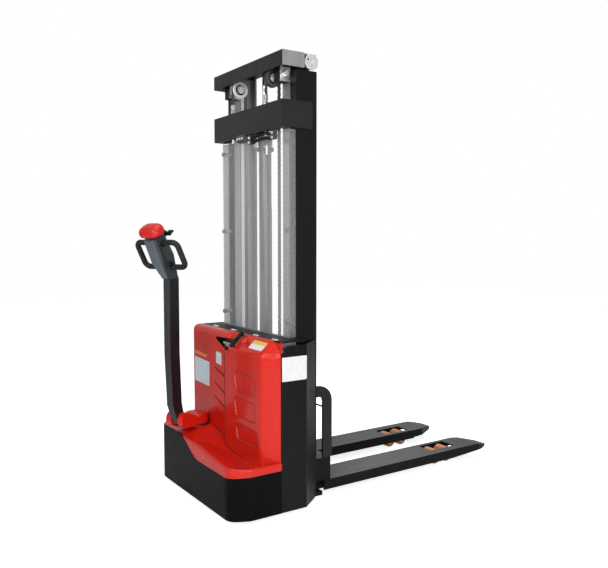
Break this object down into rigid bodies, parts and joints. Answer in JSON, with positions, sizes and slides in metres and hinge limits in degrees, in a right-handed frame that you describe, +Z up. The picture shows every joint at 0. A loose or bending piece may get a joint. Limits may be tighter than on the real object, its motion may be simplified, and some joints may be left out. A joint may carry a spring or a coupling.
{
  "type": "walkie stacker",
  "caption": "Pedestrian-operated electric stacker: low red and black chassis with a cranked tiller, telescopic mast with chain lift, and a carriage with forks over straddle legs.",
  "frame": {"origin": "on the floor, at the centre of the bounding box in plan", "axes": "+X along the forks towards their tips, +Y to the left seen from the operator's end, +Z up"},
  "size_m": [1.9238, 0.82, 2.087],
  "materials": {
    "black_paint": "satin powder coat",
    "grey_paint": "satin powder coat",
    "steel": "zinc plated",
    "chrome": "hard chrome",
    "red_cover": "moulded gloss",
    "black_plastic": "fine grain",
    "clear_guard": "clear polycarbonate",
    "pu_tyre": "polyurethane",
    "black_tyre": "solid tyre",
    "cast": "painted casting",
    "red_button": "moulded gloss",
    "head_plastic": "fine grain"
  },
  "bodies": {
    "chassis": {"chassis_skirt": "black_paint", "side_plates": "black_paint", "floor_plate": "black_paint", "drive_cover": "red_cover", "hood": "red_cover", "deck_plate": "black_plastic", "instrument_panel": "black_plastic", "batteries": "black_plastic", "pump_unit": "cast", "controller": "black_plastic", "mast_foot": "black_paint", "outer_mast_left": "grey_paint", "outer_mast_right": "grey_paint", "outer_mast_beam": "grey_paint", "mast_guard": "clear_guard", "guard_bolts": "steel", "cylinder_barrel": "black_paint", "chain_anchors": "steel", "chain_front_runs": "steel", "legs": "black_paint", "steering_bearing": "steel"},
    "inner_mast": {"inner_mast_channels": "grey_paint", "inner_mast_beam": "grey_paint", "inner_mast_tie": "grey_paint", "mast_head_fittings": "steel", "piston_rod": "chrome", "chain_rear_runs": "steel"},
    "carriage": {"carriage_frame": "grey_paint", "load_backrest": "grey_paint", "fork_left": "grey_paint", "fork_right": "grey_paint"},
    "drive_unit": {"drive_gearbox": "cast", "drive_motor": "cast", "tiller_base": "red_cover"},
    "drive_wheel": {"drive_wheel": "black_tyre"},
    "tiller": {"tiller_arm": "black_paint", "tiller_head": "head_plastic", "tiller_grips": "black_plastic"},
    "reverse_button": {"reverse_button": "red_button"},
    "thumb_lever": {"thumb_lever": "black_plastic"},
    "lift_rocker": {"lift_rocker": "black_plastic"},
    "horn_button": {"horn_button": "black_plastic"},
    "caster_swivel": {"caster_fork": "steel"},
    "caster_wheel": {"caster_wheel": "black_tyre"},
    "emergency_stop": {"emergency_stop": "red_button"},
    "disconnect_handle": {"disconnect_handle": "black_plastic"},
    "sheave_left": {"sheave_left": "steel"},
    "mast_roller_left": {"mast_roller_left": "steel"},
    "head_roller_left": {"head_roller_left": "steel"},
    "carriage_roller_lower_left": {"carriage_roller_lower_left": "steel"},
    "carriage_roller_upper_left": {"carriage_roller_upper_left": "steel"},
    "sheave_right": {"sheave_right": "steel"},
    "mast_roller_right": {"mast_roller_right": "steel"},
    "head_roller_right": {"head_roller_right": "steel"},
    "carriage_roller_lower_right": {"carriage_roller_lower_right": "steel"},
    "carriage_roller_upper_right": {"carriage_roller_upper_right": "steel"},
    "load_roller_rear_left": {"load_roller_rear_left": "pu_tyre"},
    "load_roller_front_left": {"load_roller_front_left": "pu_tyre"},
    "load_roller_rear_right": {"load_roller_rear_right": "pu_tyre"},
    "load_roller_front_right": {"load_roller_front_right": "pu_tyre"}
  },
  "joints": [
    {"name": "mast_lift", "type": "slide", "parent": "chassis", "child": "inner_mast", "axis": [0, 0, 1], "range_m": [0, 1.455], "deforming": ["chain_front_runs"]},
    {"name": "carriage_lift", "type": "slide", "parent": "inner_mast", "child": "carriage", "axis": [0, 0, 1], "range_m": [0, 1.455], "deforming": ["chain_rear_runs"]},
    {"name": "sheave_left_spin", "type": "hinge", "parent": "inner_mast", "child": "sheave_left", "pos_m": [-0.41115, 0.161, 1.997], "axis": [0, 1, 0], "range_deg": [-2321, 0]},
    {"name": "mast_roller_left_spin", "type": "hinge", "parent": "inner_mast", "child": "mast_roller_left", "pos_m": [-0.33115, 0.3, 0.14], "axis": [0, 1, 0], "range_deg": [-1913, 0]},
    {"name": "head_roller_left_spin", "type": "hinge", "parent": "chassis", "child": "head_roller_left", "pos_m": [-0.33115, 0.263, 1.95], "axis": [0, 1, 0], "range_deg": [0, 2005]},
    {"name": "carriage_roller_lower_left_spin", "type": "hinge", "parent": "carriage", "child": "carriage_roller_lower_left", "pos_m": [-0.33115, 0.226, 0.13], "axis": [0, 1, 0], "range_deg": [-2005, 0]},
    {"name": "carriage_roller_upper_left_spin", "type": "hinge", "parent": "carriage", "child": "carriage_roller_upper_left", "pos_m": [-0.33115, 0.226, 0.43], "axis": [0, 1, 0], "range_deg": [0, 2005]},
    {"name": "sheave_right_spin", "type": "hinge", "parent": "inner_mast", "child": "sheave_right", "pos_m": [-0.41115, -0.161, 1.997], "axis": [0, 1, 0], "range_deg": [-2321, 0]},
    {"name": "mast_roller_right_spin", "type": "hinge", "parent": "inner_mast", "child": "mast_roller_right", "pos_m": [-0.33115, -0.3, 0.14], "axis": [0, 1, 0], "range_deg": [-1913, 0]},
    {"name": "head_roller_right_spin", "type": "hinge", "parent": "chassis", "child": "head_roller_right", "pos_m": [-0.33115, -0.263, 1.95], "axis": [0, 1, 0], "range_deg": [0, 2005]},
    {"name": "carriage_roller_lower_right_spin", "type": "hinge", "parent": "carriage", "child": "carriage_roller_lower_right", "pos_m": [-0.33115, -0.226, 0.13], "axis": [0, 1, 0], "range_deg": [-2005, 0]},
    {"name": "carriage_roller_upper_right_spin", "type": "hinge", "parent": "carriage", "child": "carriage_roller_upper_right", "pos_m": [-0.33115, -0.226, 0.43], "axis": [0, 1, 0], "range_deg": [0, 2005]},
    {"name": "steering", "type": "hinge", "parent": "chassis", "child": "drive_unit", "pos_m": [-0.62815, 0.234, 0.206], "axis": [0, 0, 1], "range_deg": [-115, 65]},
    {"name": "drive_wheel_spin", "type": "hinge", "parent": "drive_unit", "child": "drive_wheel", "pos_m": [-0.62815, 0.234, 0.105], "axis": [-0.4226, 0.9063, 0], "continuous": true},
    {"name": "tiller_tilt", "type": "hinge", "parent": "drive_unit", "child": "tiller", "pos_m": [-0.75231, 0.1761, 0.366], "axis": [0.4226, -0.9063, 0], "range_deg": [0, 75], "stiffness_Nm_per_rad": 75, "springref_deg": -22.92},
    {"name": "reverse_button_press", "type": "slide", "parent": "tiller", "child": "reverse_button", "axis": [0.4532, 0.2113, -0.866], "range_m": [0, 0.008], "stiffness_N_per_m": 1200, "springref_m": -0.01},
    {"name": "thumb_lever_turn", "type": "hinge", "parent": "tiller", "child": "thumb_lever", "pos_m": [-0.84319, 0.13373, 1.2772], "axis": [-0.4226, 0.9063, 0], "range_deg": [-30, 30], "stiffness_Nm_per_rad": 0.6},
    {"name": "lift_rocker_tip", "type": "hinge", "parent": "tiller", "child": "lift_rocker", "pos_m": [-0.82485, 0.14228, 1.21614], "axis": [-0.4226, 0.9063, 0], "range_deg": [-8, 8], "stiffness_Nm_per_rad": 0.8},
    {"name": "horn_button_press", "type": "slide", "parent": "tiller", "child": "horn_button", "axis": [-0.7849, -0.366, -0.5], "range_m": [0, 0.003], "stiffness_N_per_m": 300, "springref_m": -0.002},
    {"name": "caster_swivel_turn", "type": "hinge", "parent": "chassis", "child": "caster_swivel", "pos_m": [-0.62815, -0.27, 0.196], "axis": [0, 0, 1], "continuous": true},
    {"name": "caster_wheel_spin", "type": "hinge", "parent": "caster_swivel", "child": "caster_wheel", "pos_m": [-0.59015, -0.27, 0.075], "axis": [0, 1, 0], "continuous": true},
    {"name": "load_roller_rear_left_spin", "type": "hinge", "parent": "chassis", "child": "load_roller_rear_left", "pos_m": [0.60285, 0.191, 0.04], "axis": [0, 1, 0], "continuous": true},
    {"name": "load_roller_front_left_spin", "type": "hinge", "parent": "chassis", "child": "load_roller_front_left", "pos_m": [0.69085, 0.191, 0.04], "axis": [0, 1, 0], "continuous": true},
    {"name": "load_roller_rear_right_spin", "type": "hinge", "parent": "chassis", "child": "load_roller_rear_right", "pos_m": [0.60285, -0.191, 0.04], "axis": [0, 1, 0], "continuous": true},
    {"name": "load_roller_front_right_spin", "type": "hinge", "parent": "chassis", "child": "load_roller_front_right", "pos_m": [0.69085, -0.191, 0.04], "axis": [0, 1, 0], "continuous": true},
    {"name": "emergency_stop_press", "type": "slide", "parent": "chassis", "child": "emergency_stop", "axis": [0.691, 0, -0.7229], "range_m": [0, 0.006]},
    {"name": "disconnect_handle_pull", "type": "slide", "parent": "chassis", "child": "disconnect_handle", "axis": [-0.691, 0, 0.7229], "range_m": [0, 0.025]}
  ],
  "couplings": [
    {"joint": "carriage_lift", "follows": "mast_lift", "ratio": 1},
    {"joint": "sheave_left_spin", "follows": "mast_lift", "rad_per_m": -27.778},
    {"joint": "mast_roller_left_spin", "follows": "mast_lift", "rad_per_m": -22.883},
    {"joint": "head_roller_left_spin", "follows": "mast_lift", "rad_per_m": 23.981},
    {"joint": "carriage_roller_lower_left_spin", "follows": "mast_lift", "rad_per_m": -23.981},
    {"joint": "carriage_roller_upper_left_spin", "follows": "mast_lift", "rad_per_m": 23.981},
    {"joint": "sheave_right_spin", "follows": "mast_lift", "rad_per_m": -27.778},
    {"joint": "mast_roller_right_spin", "follows": "mast_lift", "rad_per_m": -22.883},
    {"joint": "head_roller_right_spin", "follows": "mast_lift", "rad_per_m": 23.981},
    {"joint": "carriage_roller_lower_right_spin", "follows": "mast_lift", "rad_per_m": -23.981},
    {"joint": "carriage_roller_upper_right_spin", "follows": "mast_lift", "rad_per_m": 23.981}
  ]
}
